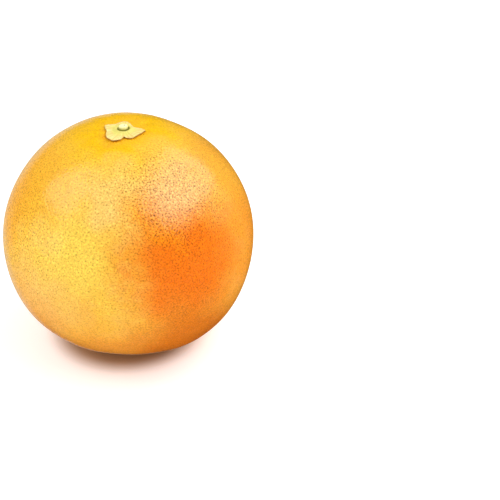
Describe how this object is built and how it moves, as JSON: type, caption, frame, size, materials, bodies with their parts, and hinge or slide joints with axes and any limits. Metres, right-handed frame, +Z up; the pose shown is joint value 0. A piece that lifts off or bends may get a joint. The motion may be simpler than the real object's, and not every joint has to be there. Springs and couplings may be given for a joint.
{
  "type": "grapefruit",
  "caption": "Whole ripe grapefruit with a blushed yellow peel, a dry star-shaped calyx in its stem hollow and a cut stem stub, resting upright on its blossom end",
  "frame": {"origin": "middle of the small flat spot at the blossom end, on the surface that the fruit rests on, below the middle of the body", "axes": "+Z up through the stem end, -Y towards the viewer of the pictured side, +X to that viewer's right; metres"},
  "size_m": [0.1102, 0.1102, 0.1042],
  "materials": {
    "peel": "waxy citrus peel pitted by oil glands, yellow with an orange blush, satin gloss",
    "dry_sepal": "dry, finely ribbed sepals, cream yellow turning green near the stem, matt",
    "cut_stem": "pale cut wood with a thin green bark, matt"
  },
  "bodies": {
    "root": {"fruit": "peel", "calyx": "dry_sepal", "stem_stub": "cut_stem"}
  },
  "joints": []
}
